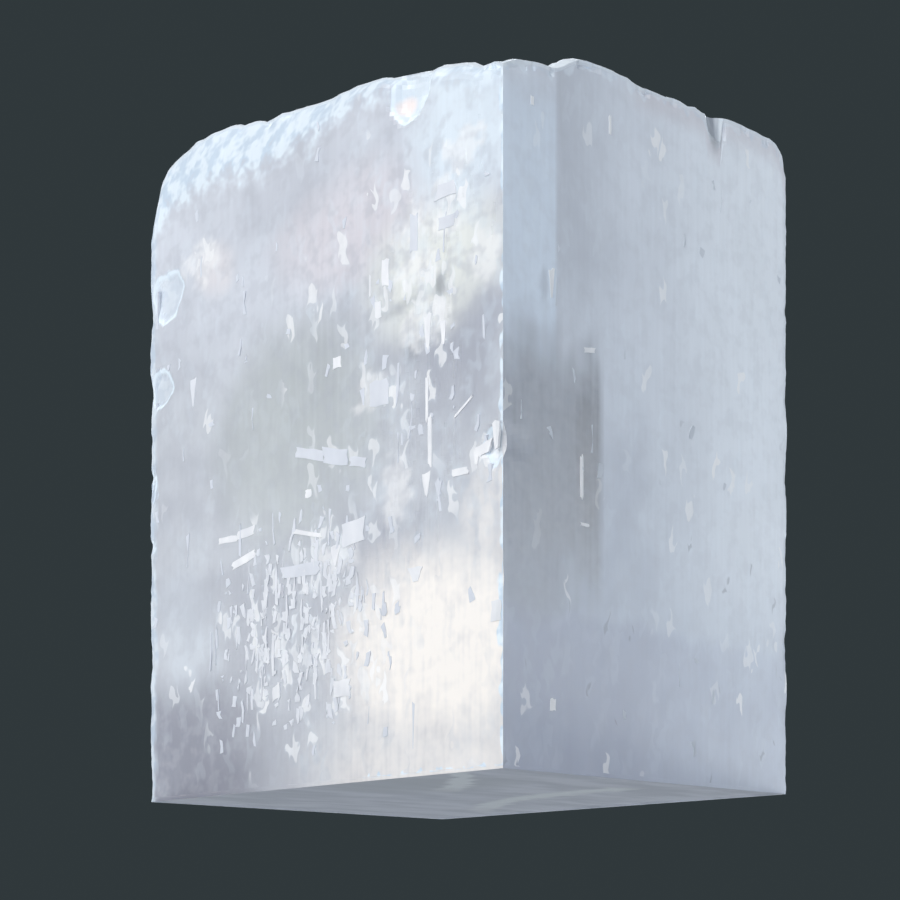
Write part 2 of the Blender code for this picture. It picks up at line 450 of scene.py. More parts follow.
# Patches of the left face: middle and reach along the left edge and up, share and colour
LEFT_PATCHES = (
    ((22, 65), (15, 9), 0.5, ROSE),
    ((9, 57), (13, 11), 0.85, STRAW),
    # Painted shade in the low far corner
    ((53, 4), (23, 15), 0.85, PAINTED_CORNER_SHADE),
    ((5, 71), (10, 11), 0.85, FROST),
    ((32, 73), (10, 7), 0.4, LAVENDER),
    ((44.5, 66.5), (4.5, 4), 0.35, PEACH),
    ((50, 22), (6.5, 11), 0.22, FROST),
    # Painted shadow: a diagonal of dark marks below the straw patch
    ((8.2, 54.4), (1.1, 2.4), 0.6, SLATE),
    ((12, 47.6), (1.8, 1.7), 0.35, SLATE),
    ((14.5, 53.9), (6, 0.8), 0.35, SLATE),
)

# Soft white patches of the left face with torn rims: middle and reach
SOFT_PATCHES = (
    ((5.3, 69), (3.4, 2.8)),
    ((8.2, 65.4), (1.6, 1.8)),
    ((12.5, 62), (1.3, 4.4)),
    ((7.7, 61.6), (2.2, 1.8)),
    ((2.4, 56.4), (2.4, 3.8)),
    ((11.9, 57.3), (3.8, 2.4)),
    ((10.8, 51.2), (4.6, 3.2)),
    ((18.8, 45.1), (2.6, 2.6)),
    ((24, 26.5), (4.5, 2.2)),
    ((15, 33), (2.5, 5)),
    ((47, 68), (4, 3)),
)
SOFT_SHARE = 0.5

# The painted warm glow of light low by the near edge: middle, reach and strength of its parts
PAINTED_GLOW_SPOTS = (((9, 14.5), (20, 15), 1.06), ((8, 1), (26, 14), 0.6), ((1, 26), (8, 14), 0.5))

# Dark places of the right face: middle and reach along the right edge and up, and strength
RIGHT_SHADES = (((4, 23), (9, 10), 0.4), ((6.3, 54.3), (0.8, 2.4), 0.25))
# Painted shade in the notch at the top of the right face: middle, reach and strength
NOTCH_SHADE = ((35.8, 83.0), (1.5, 5), 0.8)

# The milk's clouds: their grain across and up, and how fine each layer is with its share
CLOUD_GRAIN = (0.085, 0.07)
CLOUD_LAYERS = ((1, 0.26), (2, 0.15), (4, 0.09))
USUAL_LIVELY = 0.10
MILK_LEAST = 0.71
FOOT_MILK_LEAST = 0.46
CLOUD_MILK = 0.24


class Stone(NamedTuple):
    """What a place of the stone looks like before its finest grain is added.

    Its second number is a painted glow above 0 and painted shade below 0, lively says how much
    the hidden cleavage shows, and milk is the share of the stone that isn't clear.
    """

    colour: Vector
    painted_glow_and_shade: float
    lively: float
    milk: float


def clouds(across, up, field):
    """Clouds in the milk, from 0 to 1."""
    middle = Vector((across * CLOUD_GRAIN[0], up * CLOUD_GRAIN[1], field))
    return 0.5 + sum(share * noise.noise(middle * fine) for fine, share in CLOUD_LAYERS)


def spot(at, middle, reach):
    """1 at a middle place, and a smooth fall to 0 at its reach across and up."""
    across, up = (at[0] - middle[0]) / reach[0], (at[1] - middle[1]) / reach[1]
    return smooth(1, 0, across * across + up * up)


def mixed(colour, share, tint):
    """Colour with a share of a tint in it."""
    return Vector(colour).lerp(Vector(tint), min(share, 1))


def left_stone(u, h):
    """Lavender milk with pastel lights of hidden cleavage, and a painted warm glow low by the near edge."""
    cloud = clouds(u, h, LEFT_MILK)
    colour = mixed(LAVENDER, smooth(0.28, 0.62, cloud), PALE)
    colour = mixed(colour, smooth(46, 64, h) * (0.45 + 0.5 * cloud), MIST)
    away = (cloud - 0.5) * 7
    drifted = (u + away, h + away)
    plain = spot(drifted, (31, 43), (17, 17))
    colour = mixed(colour, plain * 0.7, MOSS)
    for middle, reach, share, tint in LEFT_PATCHES:
        colour = mixed(colour, spot(drifted, middle, reach) * share, tint)
    torn = (
        u + 1.7 * noise.noise(Vector((u * 0.7, h * 0.7, TORN_ACROSS))),
        h + 1.7 * noise.noise(Vector((u * 0.7, h * 0.7, TORN_UP))))
    for middle, reach in SOFT_PATCHES:
        colour = mixed(colour, SOFT_SHARE * smooth(0, 0.6, spot(torn, middle, reach)), WHITE)
    blots = smooth(0.12, 0.45, noise.noise(Vector((torn[0] * 0.42, torn[1] * 0.34, BLOTS))))
    colour = mixed(colour, blots * (1 - plain) * (0.05 + 0.22 * spot((u, h), (10, 52), (20, 40))), FROST)
    # Painted warm glow of light, low by the near edge
    glow = max(spot(drifted, middle, reach) * strength for middle, reach, strength in PAINTED_GLOW_SPOTS)
    lively = 0.05 + spot((u, h), (31, 18), (18, 19)) + 0.5 * spot((u, h), (15, 50), (22, 30))
    return Stone(colour, glow, lively, MILK_LEAST + CLOUD_MILK * cloud - 0.15 * plain)


def right_stone(v, h, below):
    """Cooler milk, clearer and streaked near the edge, paler towards the far one."""
    cloud = clouds(v, h, RIGHT_MILK)
    colour = mixed(STEEL, smooth(0.30, 0.65, cloud), HAZE)
    colour = mixed(colour, smooth(16, 60, h) * 0.7, AIR)
    far = smooth(12, 46, v) * (0.35 + 0.65 * smooth(10, 34, h))
    colour = mixed(colour, far, ICE)
    colour = mixed(colour, smooth(-1.5, 1.5, 2.6 - below) * smooth(18, 24, v) * 0.55, BLUSH)
    ragged = 2.4 * noise.noise(Vector((v * 0.9, h * 0.09, STREAKED)))
    ragged += 1.8 * noise.noise(Vector((v * 0.4, h * 0.4, SHREDDED)))
    low = smooth(19.2, 16.8, h + ragged * 0.3)
    colour = mixed(colour, low * (0.45 - 0.25 * smooth(16, 44, v)), VIOLET)
    strip = smooth(8.4, 8.15, v) * smooth(41, 52, h + ragged) * smooth(79, 72, h)
    colour = mixed(colour, strip * 0.75, SKY)
    behind = smooth(8.15, 8.4, v) * smooth(22, 9, v) * smooth(44, 60, h)
    colour = mixed(colour, behind * 0.25, SLATE)
    # Painted shade: a clearer window in the stone, whose milk the shader lowers, painted dark for the dark
    # room seen through it
    deep = smooth(15.8, 14.9, v) * smooth(17, 28, h - ragged) * smooth(53, 41, h + ragged)
    deep *= 0.60 + 0.3 * spot((v, h), (13.5, 38), (3.5, 14))
    shade = max(deep, low * smooth(40, 16, v) * 0.12, notch_shade(v, h))
    for middle, reach, strength in RIGHT_SHADES:
        shade = max(shade, spot((v, h), middle, reach) * strength)
    return Stone(colour, -shade, USUAL_LIVELY, MILK_LEAST + CLOUD_MILK * cloud)


def notch_shade(v, h):
    """Painted shade in the notch at the top of the right face."""
    middle, reach, strength = NOTCH_SHADE
    return strength * spot((v, h), middle, reach)


def back_stone(u, v, h):
    """The milk of the sides behind and of the broken top."""
    cloud = clouds(u + v, h, BACK_MILK)
    colour = mixed(LAVENDER, smooth(0.28, 0.62, cloud), PALE)
    colour = mixed(colour, 0.3 + 0.4 * smooth(30, 64, h), MIST)
    shade = notch_shade(v, h) * smooth(6, 2, u)
    return Stone(colour, -shade, USUAL_LIVELY, MILK_LEAST + CLOUD_MILK * cloud)


def foot_stone(u, v):
    """Duller stone with the bright curved veins that show in the underside."""
    cloud = clouds(3 * u, v, FOOT_MILK)
    bend = 1.6 * noise.noise(Vector((u * 0.5, v * 0.5, VEIN_BEND)))
    inner_vein = abs(v + bend - ((u - 6) * 1.25 - (u - 6) * (u - 6) * 0.018))
    inner_vein = smooth(2.2, 1.2, inner_vein) * smooth(4, 8, u) * smooth(27, 19, u)
    outer_vein = abs(v + bend - (30 + (u - 14) * (u - 14) * 0.016))
    outer_vein = smooth(2.6, 1.4, outer_vein) * smooth(6, 10, u) * smooth(50, 34, u)
    veins = max(inner_vein, outer_vein)
    colour = mixed(DEEP, smooth(0.35, 0.65, cloud), PEARL)
    colour = mixed(colour, spot((u, v), (20, 8), (15, 14)) * 0.7, MURK)
    milk = max(FOOT_MILK_LEAST + CLOUD_MILK * cloud, veins)
    return Stone(mixed(colour, veins, VEIN), 0, 0, milk)


def stone_at(axis, outer, u, v, h, below):
    """The stone on one side, by the edge that it faces along and whether it is one of the outer three."""
    if outer:
        return back_stone(u, v, h)
    if axis == ALONG_RISE:
        return foot_stone(u, v)
    return left_stone(u, h) if axis == ALONG_RIGHT else right_stone(v, h, below)


def colour_block(bm, facings, places):
    """Gives every corner of every cell the colour of its place in the stone."""
    colour_layer = bm.loops.layers.float_vector.new("stone_colour")
    # Painted glow and painted shade, liveliness and milk of each corner
    light_layer = bm.loops.layers.float_vector.new("lights")
    known = {}
    for face, facing in zip(bm.faces, facings):
        for loop in face.loops:
            key = (*facing, loop.vert.index)
            if key not in known:
                stone = stone_at(*facing, *places[loop.vert.index])
                known[key] = stone.colour, (stone.painted_glow_and_shade, stone.lively, stone.milk)
            loop[colour_layer], loop[light_layer] = known[key]


# ---------------- the cleaved surface


def unit_grid_box(cells):
    """Closed box from 0 to 1 whose six sides are grids."""
    bm = bmesh.new()
    bmesh.ops.create_cube(bm, size=1)
    bmesh.ops.translate(bm, vec=(0.5, 0.5, 0.5), verts=bm.verts)
    for axis, count in enumerate(cells):
        lines = [e for e in bm.edges if abs(e.verts[0].co[axis] - e.verts[1].co[axis]) > 0.5]
        bmesh.ops.subdivide_edges(bm, edges=lines, cuts=count - 1, use_grid_fill=True)
    return bm


def solid_tree(node):
    """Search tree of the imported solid, in world places."""
    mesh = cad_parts[node].data
    points = [v.co.copy() for v in mesh.vertices]
    return BVHTree.FromPolygons(points, [p.vertices[:] for p in mesh.polygons])


def crowded(share):
    """Moves a grid line's share of an edge towards the nearer end."""
    return share - EDGE_CROWDING * math.sin(2 * math.pi * share) / (2 * math.pi)


def top_heights(tree, columns):
    """Length of the block along its rising edges over each (u, v) column, in millimetres."""
    heights = {}
    for key, (u, v) in columns.items():
        inside_u = min(max(u, RAY_INSET), LEFT_EDGE - RAY_INSET)
        inside_v = min(max(v, RAY_INSET), RIGHT_EDGE - RAY_INSET)
        start = place(inside_u, inside_v, OVER_THE_TOP)
        hit = tree.ray_cast(start, -RISE_DIRECTION)[0]
        heights[key] = OVER_THE_TOP - (start - hit).length / MM
    return heights


def wandering(across, up, field):
    """Two soft noises, one to shift a place across and one to shift it up."""
    return Vector([noise.noise(Vector((across, up, field + own))) for own in WANDER_FIELDS])


def plate_depth(across, up, field, sizes):
    """Stepped relief of thin plates, each split off at its own depth along the cleavage."""
    waver = wandering(across / 2.5, up / 5, field)
    depth = 0
    for generation, (wide, tall, deep) in enumerate(sizes):
        column, row = (across + 0.7 * waver.x) / wide, (up + 1.2 * waver.y) / tall
        depth += deep * (0.5 + 0.5 * noise.cell(Vector((column, row, field + 3 * generation))))
    return depth


def chip_depth(tree, face, across, h):
    """How deep a chip is, evened over a little square so that its walls slope."""
    around = [(across + CHIP_EVENING * x, h + CHIP_EVENING * y) for x, y in SQUARE]
    return sum(sounded_depth(tree, face, *at) for at in around) / len(around)


def sounded_depth(tree, face, across, h):
    """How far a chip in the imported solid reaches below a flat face, in millimetres, with a ragged rim."""
    waver = wandering(across / 2.2, h / 2.2, face.seed + RIM_FIELD)
    waver += 0.5 * wandering(across / 0.9, h / 0.9, face.seed + FINE_RIM_FIELD)
    sampled = min(max(across + 0.9 * waver.x, 0.1), face.width - 0.1)
    start = on_face(face, sampled, max(h + 1.1 * waver.y, SOUNDED_LEAST), SOUNDING_OUT)
    hit = tree.ray_cast(start, -face.normal, SOUNDING_REACH * MM)[0]
    if hit is None:
        return 0
    depth = max((start - hit).length / MM - SOUNDING_OUT, 0)
    if face is not LEFT_FACE:
        depth *= smooth(0.5, 4, min(across, face.width - across))
    return min(depth * smooth(CHIP_LEAST, 1.5 * CHIP_LEAST, depth), CHIP_MOST)


def away_from(middle, reach, across, up):
    """How far a place is from a middle one, as a share of its reach across and up."""
    return math.hypot((across - middle[0]) / reach[0], (up - middle[1]) / reach[1])


def band_depth(u):
    """How far the bruised band reaches down the left face under the top, in millimetres."""
    return BAND_LEAST + (BAND_MOST - BAND_LEAST) * smooth(*BAND_WIDENS, u)


def splintered(face, across, h):
    """How much the face's cleavage is parted there, from 0 to 1."""
    share = 0.15 + 0.35 * noise.noise(Vector((across / 9, h / 12, face.seed + PARTED_FIELD)))
    if face is LEFT_FACE:
        share += smooth(1, 0, away_from(*PARTED, across, h))
    return min(max(share, 0), 1)


def side_setback(face, tree, across, h, below):
    """How far a place on an upright side lies inside its flat face, and how deep a chip is there."""
    chip = 0
    if h > WHOLE_FOOT and below > WHOLE_TOP:
        chip = chip_depth(tree, face, across, h)
    plates = plate_depth(across, h, face.seed, UPRIGHT_PLATES)
    parted = plate_depth(across, h, face.seed + SPLINTER_FIELD, SPLINTER_PLATES)
    plates += splintered(face, across, h) * parted
    setback = chip + face.plate_share * plates
    if face is LEFT_FACE:
        reach = band_depth(across) * (1 + 0.35 * noise.noise(Vector((across / 3, h / 3, BAND_FIELD))))
        setback += BAND_SETBACK * max(1 - below / reach, 0) ** 1.6 * smooth(0, 4, across)
    ragged = noise.noise(Vector((h / 5.5, face.seed, WEAR_FIELD)))
    ragged += 0.4 * noise.noise(Vector((h / 1.3, face.seed, FINE_WEAR_FIELD)))
    worn = smooth(WORN_WIDTH, 0, face.width - across)
    if face in (BACK_LEFT_FACE, BACK_RIGHT_FACE):
        worn = max(worn, smooth(WORN_WIDTH, 0, across))
    setback += EDGE_WEAR * worn * max(0.3 + ragged, 0.03)
    return setback, chip


def side_push(tree, u, v, h, below):
    """How the upright sides move a place inwards, and how deep a chip of the left face is there."""
    push, deepest = Vector((0, 0, 0)), 0
    for face, across, inside in (
        (LEFT_FACE, u, v),
        (RIGHT_FACE, v, u),
        (BACK_LEFT_FACE, v, LEFT_EDGE - u),
        (BACK_RIGHT_FACE, u, RIGHT_EDGE - v),
    ):
        follow = 1 - inside / FOLLOW_WIDTH
        if follow <= 0:
            continue
        setback, chip = side_setback(face, tree, across, h, below)
        push += MM * setback * follow * face.inward
        if inside < 0.001 and face is LEFT_FACE:
            deepest = chip
    return push, deepest


def top_drop(u, v):
    """How far the broken top's plates lie under the solid's top at a place, in millimetres."""
    inner = min(u, v, LEFT_EDGE - u, RIGHT_EDGE - v)
    return smooth(-1.0, 4.0, inner) * plate_depth(u, v, BREAK_FIELD, BREAK_PLATES)


def foot_lift(u, v):
    """How far the uneven underside lies above the floor at a place, in millimetres."""
    inner = min(u, v, LEFT_EDGE - u, RIGHT_EDGE - v)
    swell = FOOT_SWELL * (1 + noise.noise(Vector((u / 8, v / 8, SWELL_FIELD))))
    return smooth(0, 1.5, inner) * (swell + plate_depth(u + v, v - u, FOOT_FIELD, FOOT_PLATES))


def make_cleaved_surface():
    """The block's whole skin as one closed fine mesh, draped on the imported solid."""
    tree = solid_tree("calcite_block")
    bm = unit_grid_box(SURFACE_CELLS)
    below_layer = bm.verts.layers.float.new("below_top")
    chip_layer = bm.verts.layers.float.new("chip_depth")
    break_layer = bm.verts.layers.float.new("broken")
    units = [vert.co.copy() for vert in bm.verts]
    keys = [(round(unit.x, 5), round(unit.y, 5)) for unit in units]
    columns = {}
    for key, unit in zip(keys, units):
        columns[key] = LEFT_EDGE * crowded(unit.x), RIGHT_EDGE * crowded(unit.y)
    heights = top_heights(tree, columns)
    bm.normal_update()
    facings = []
    for face in bm.faces:
        axis = max(range(3), key=lambda i: abs(face.normal[i]))
        facings.append((axis, face.normal[axis] > 0))
    places = []
    for vert, unit, key in zip(bm.verts, units, keys):
        u, v = columns[key]
        h = unit.z * heights[key]
        below = heights[key] - h
        push, chip = side_push(tree, u, v, h, below)
        if unit.z > 0.9999:
            push -= MM * top_drop(u, v) * RISE_DIRECTION
            vert[break_layer] = 1
        if unit.z < 0.0001:
            push.z += MM * foot_lift(u, v)
            vert[break_layer] = -1
        vert[below_layer] = below
        vert[chip_layer] = chip
        vert.co = place(u, v, h) + push
        places.append((u, v, h, below))
    bm.verts.index_update()
    colour_block(bm, facings, places)
    bmesh.ops.recalc_face_normals(bm, faces=bm.faces)
    for face in bm.faces:
        face.smooth = all(vert[break_layer] < 0 for vert in face.verts)
    for edge in bm.edges:
        edge.smooth = edge.link_faces[0].smooth == edge.link_faces[1].smooth
    return object_of(bm, "cleaved_surface")


# ---------------- flakes and splinters


class Flake(NamedTuple):
    """A parted flake on a face: its middle, its size, its slope and how far it narrows downwards."""

    across: float
    up: float
    wide: float
    tall: float
    slope: float = 0
    point: float = 0
    white: float = 1


LEFT_FLAKES = (
    Flake(28.4, 39.9, 4.4, 1.3, 0.30, 0, 0.25),
    Flake(24.2, 38.8, 4.2, 2.0, 0.30, 0, 0.15),
    Flake(20.8, 37.4, 2.6, 1.2, 0.30, 0, 0.3),
    Flake(42.3, 32.0, 3.4, 0.8, 0.05),
    Flake(39.2, 32.3, 3.0, 1.1, -0.10),
    Flake(39.5, 29.0, 4.2, 1.0, -0.27),
    Flake(21.5, 29.3, 3.5, 2.7, -0.10, 0, 0.6),
    Flake(24.3, 27.0, 1.8, 2.6, 0, 0.9),
    Flake(29.0, 30.5, 5.0, 0.6, 0.30),
    Flake(28.6, 35.2, 1.0, 1.0),
    Flake(12.2, 22.9, 2.2, 1.7, 0, 0.7),
    Flake(23.3, 11.2, 2.7, 2.1),
    Flake(2.6, 35.2, 2.6, 1.3, -0.3, 0.5),
    Flake(0.9, 36.4, 1.1, 3.0, 0, 0.6),
    Flake(3.6, 34.4, 1.0, 1.6, 0.4, 0.7),
    Flake(5.4, 40.4, 2.5, 0.35, -0.73),
    Flake(5.8, 33.3, 2.2, 0.9),
    Flake(10.6, 32.8, 1.4, 2.8, 0, 0.8),
    Flake(10.1, 37.6, 0.6, 6.0),
    Flake(10.5, 42.6, 0.4, 5.4),
    Flake(0.9, 17.2, 1.4, 2.3),
    Flake(34.0, 11.9, 1.2, 1.9, -0.4),
    Flake(17.6, 44.8, 3.0, 3.1, 0, 0, 0.3),
    Flake(48.6, 51.8, 1.3, 3.8, 0, 0.9, 0.5),
    Flake(30.0, 26.2, 6.4, 1.5, 0.05, 0, 0.3),
    Flake(7.8, 65.2, 2.4, 1.7, 0, -0.4, 0.45),
    Flake(7.8, 61.6, 2.2, 1.4, 0, 0, 0.4),
    Flake(12.4, 61.7, 1.1, 4.4, 0, 0, 0.3),
    Flake(16.6, 58.4, 1.1, 3.2),
    Flake(18.9, 57.5, 0.25, 2.6),
    Flake(17.7, 54.4, 1.0, 1.9),
    Flake(24.0, 49.8, 1.3, 1.4),
    Flake(10.4, 50.0, 1.2, 4.0, 0, 0.7),
    Flake(8.2, 49.3, 0.8, 2.6, 0, 0.5),
)
RIGHT_FLAKES = (
    Flake(16.9, 75.6, 0.4, 2.3),
    Flake(4.4, 74.0, 0.5, 1.0),
    Flake(7.4, 54.6, 0.9, 3.4, 0, 0.7),
    Flake(13.5, 48.7, 1.8, 0.6, 0.2),
    Flake(12.7, 28.6, 1.4, 0.4),
    Flake(7.6, 7.6, 0.9, 1.4),
    Flake(12.2, 34.0, 0.5, 5.0),
)


def add_flake(bm, face, flake, dice):
    """A thin flat plate with a ragged outline, rooted in the stone and slightly tilted."""
    lean_across, lean_up = dice.uniform(-0.5, 0.5), dice.uniform(-0.5, 0.5)
    inner, outer = [], []
    for step in range(4 * FLAKE_STEPS):
        corner, share = step // FLAKE_STEPS, step % FLAKE_STEPS / FLAKE_STEPS
        first, second = SQUARE[corner], SQUARE[(corner + 1) % 4]
        side = (first[0] + share * (second[0] - first[0])) * dice.uniform(*FLAKE_RAGGED)
        end = (first[1] + share * (second[1] - first[1])) * dice.uniform(*FLAKE_RAGGED)
        narrowing = 1 - flake.point * (1 - end) / 2
        across = side * flake.wide / 2 * narrowing
        up = flake.up + end * flake.tall / 2 + flake.slope * across
        across += flake.across
        stand = SLIVER_STAND * (1 + lean_across * side + lean_up * end)
        inner.append(bm.verts.new(on_face(face, across, up, -SLIVER_ROOT)))
        outer.append(bm.verts.new(on_face(face, across, up, stand)))
    bm.faces.new(outer)
    bm.faces.new(inner)
    for i in range(len(outer)):
        bm.faces.new((outer[i], outer[i - 1], inner[i - 1], inner[i]))
    for vert in outer + inner:
        vert[bm.verts.layers.float["whiteness"]] = 0.6 * flake.white


def parting(face, across, h):
    """How thickly splinters lie on a face there, from 0 to 1."""
    if face is LEFT_FACE:
        low = smooth(1, 0.1, away_from(*LOW_SPLINTERS, across, h))
        high = 0.16 * smooth(1, 0, away_from(*HIGH_SPLINTERS, across, h))
        return max(low, high, 0.008)
    patch = noise.noise(Vector((across / 11, h / 14, face.seed + PARTED_FIELD)))
    return (0.02 if face is RIGHT_FACE else 0.16) * smooth(0, 0.4, patch + 0.1)


class SplinterMaker(Wiring):
    """Geometry nodes that scatter splinters over a flat patch and lay the patch on a face."""

    INPUTS = (
        ("Density", "Float"), ("Width", "Float"), ("Height", "Float"), ("Thickness", "Float"),
        ("Lean", "Float"), ("Corner", "Vector"), ("Along", "Vector"), ("Rise", "Vector"),
        ("Out", "Vector"), ("Seed", "Int"))

    def __init__(self, material):
        super().__init__(bpy.data.node_groups.new("scatter_splinters", "GeometryNodeTree"))
        panel = self.tree.interface
        panel.new_socket(name="Geometry", in_out="OUTPUT", socket_type="NodeSocketGeometry")
        panel.new_socket(name="Patch", in_out="INPUT", socket_type="NodeSocketGeometry")
        self.names = {}
        for name, kind in self.INPUTS:
            made = panel.new_socket(name=name, in_out="INPUT", socket_type="NodeSocket" + kind)
            self.names[name] = made.identifier
        self.wire(material)

    def chance(self, low, high, seed):
        settings = {"data_type": "FLOAT_VECTOR"}
        return self.node("FunctionNodeRandomValue", settings, {0: low, 1: high, "Seed": seed}).outputs[0]

    def vector(self, operation, first, second):
        settings = {"operation": operation}
        return self.node("ShaderNodeVectorMath", settings, {0: first, 1: second}).outputs[0]

    def stretched(self, direction, length):
        settings = {"operation": "SCALE"}
        return self.node("ShaderNodeVectorMath", settings, {0: direction, "Scale": length}).outputs[0]

    def wire(self, material):
        """Points where the cleavage is parted, a crumpled splinter on each, laid on the face."""
        given = self.node("NodeGroupInput").outputs
        share = self.node("GeometryNodeInputNamedAttribute", {"data_type": "FLOAT"}, {"Name": "parting"})
        thick = self.node("ShaderNodeMath", {"operation": "MULTIPLY"}, {
            0: share.outputs["Attribute"], 1: given["Density"]}).outputs[0]
        points = self.node("GeometryNodeDistributePointsOnFaces", {"distribute_method": "RANDOM"}, {
            "Mesh": given["Patch"], "Density": thick, "Seed": given["Seed"]}).outputs["Points"]
        size = self.node("ShaderNodeCombineXYZ", None, {
            0: given["Width"], 1: given["Height"], 2: given["Thickness"]}).outputs[0]
        splinter = self.node("GeometryNodeMeshCube", None, {
            "Size": size, "Vertices X": 2, "Vertices Y": 3, "Vertices Z": 2}).outputs["Mesh"]
        tilt = self.chance((-0.02, -0.10, -1), (0.02, 0.10, 1), given["Seed"])
        lean = self.node("ShaderNodeCombineXYZ", None, {0: 1, 1: 1, 2: given["Lean"]}).outputs[0]
        turn = self.node("FunctionNodeEulerToRotation", None, {0: self.vector("MULTIPLY", tilt, lean)})
        scale = self.chance((0.35, 0.22, 0.85), (1.7, 1.25, 1.0), given["Seed"])
        laid = self.node("GeometryNodeInstanceOnPoints", None, {
            "Points": points, "Instance": splinter, "Rotation": turn.outputs[0], "Scale": scale})
        real = self.node("GeometryNodeRealizeInstances", None, {0: laid.outputs[0]}).outputs[0]
        position = self.node("GeometryNodeInputPosition").outputs[0]
        crumple = self.node("ShaderNodeTexNoise", None, {
            "Vector": position, "Scale": 2200.0, "Detail": 1.0})
        nudge = self.vector("SUBTRACT", crumple.outputs["Color"], (0.5, 0.5, 0.5))
        nudge = self.vector("MULTIPLY", nudge, (0.0012, 0.0016, 0.00005))
        moved = self.node("GeometryNodeSetPosition", None, {"Geometry": real, "Offset": nudge}).outputs[0]
        parts = self.node("ShaderNodeSeparateXYZ", None, {0: position}).outputs
        laid_out = given["Corner"]
        for direction, length in zip(("Along", "Rise", "Out"), parts):
            laid_out = self.vector("ADD", laid_out, self.stretched(given[direction], length))
        mapped = self.node("GeometryNodeSetPosition", None, {"Geometry": moved, "Position": laid_out})
        done = self.node("GeometryNodeSetMaterial", None, {0: mapped.outputs[0], "Material": material})
        self.node("NodeGroupOutput", None, {0: done.outputs[0]})


def splinter_patch(face, tree, clearance):
    """Flat patch in (across, up) with the share of splinters kept at each corner of its cells."""
    bm = bmesh.new()
    layer = bm.verts.layers.float.new("parting")
    grid = []
    for i in range(PATCH_COLUMNS + 1):
        across = PATCH_MARGIN + (face.width - 2 * PATCH_MARGIN) * i / PATCH_COLUMNS
        line = []
        for j in range(PATCH_ROWS + 1):
            h = PATCH_START + PATCH_HEIGHT * j / PATCH_ROWS
            start = on_face(face, across, h + clearance, SOUNDING_OUT)
            over = tree.ray_cast(start, -face.normal, SOUNDING_REACH * MM)[0]
            vert = bm.verts.new((across * MM, h * MM, -(SLIVER_ROOT - SLIVER_STAND) / 2 * MM))
            vert[layer] = parting(face, across, h) if over and h > clearance else 0
            line.append(vert)
        grid.append(line)
    for i in range(PATCH_COLUMNS):
        for j in range(PATCH_ROWS):
            bm.faces.new((grid[i][j], grid[i + 1][j], grid[i + 1][j + 1], grid[i][j + 1]))
    return object_of(bm, "splinter_patch")


def scatter(maker, face, tree, sizes):
    """Plain mesh of the splinters on one face."""
    patch = splinter_patch(face, tree, sizes["Height"] / MM + SPLINTER_CLEARANCE)
    modifier = patch.modifiers.new("splinters", "NODES")
    modifier.node_group = maker.tree
    given = dict(sizes, Corner=face.corner, Along=face.along, Rise=RISE_DIRECTION, Out=face.normal)
    for name, value in given.items():
        modifier[maker.names[name]] = value if isinstance(value, (int, float)) else list(value)
    graph = bpy.context.evaluated_depsgraph_get()
    mesh = bpy.data.meshes.new_from_object(patch.evaluated_get(graph))
    patch_mesh = patch.data
    bpy.data.objects.remove(patch)
    bpy.data.meshes.remove(patch_mesh)
    return mesh


def make_splinters(material):
    """Flakes and scattered splinters of parted cleavage, one piece rooted in all four faces."""
    tree = solid_tree("calcite_block")
    maker = SplinterMaker(material)
    bm = bmesh.new()
    whiteness = bm.verts.layers.float.new("whiteness")
    dice = random.Random(5)
    for face, flakes in ((LEFT_FACE, LEFT_FLAKES), (RIGHT_FACE, RIGHT_FLAKES)):
        for flake in flakes:
            add_flake(bm, face, flake, dice)
    for face in (LEFT_FACE, RIGHT_FACE, BACK_LEFT_FACE, BACK_RIGHT_FACE):
        for seed, sizes in ((1, SHORT_SPLINTERS), (2, LONG_SPLINTERS)):
            mesh = scatter(maker, face, tree, dict(sizes, Seed=face.seed + seed))
            shares = [corner.value for corner in mesh.attributes["parting"].data]
            before = len(bm.verts)
            bm.from_mesh(mesh)
            bpy.data.meshes.remove(mesh)
            bm.verts.ensure_lookup_table()
            for vert, share in zip(bm.verts[before:], shares):
                vert[whiteness] = 0.06 + 0.33 * smooth(0, 0.8, share)
    bmesh.ops.recalc_face_normals(bm, faces=bm.faces)
    made = object_of(bm, "cleavage_splinters")
    # Clearing first puts every face back to the first slot
    made.data.materials.clear()
    made.data.materials.append(material)
    return made


# ---------------- the calcite


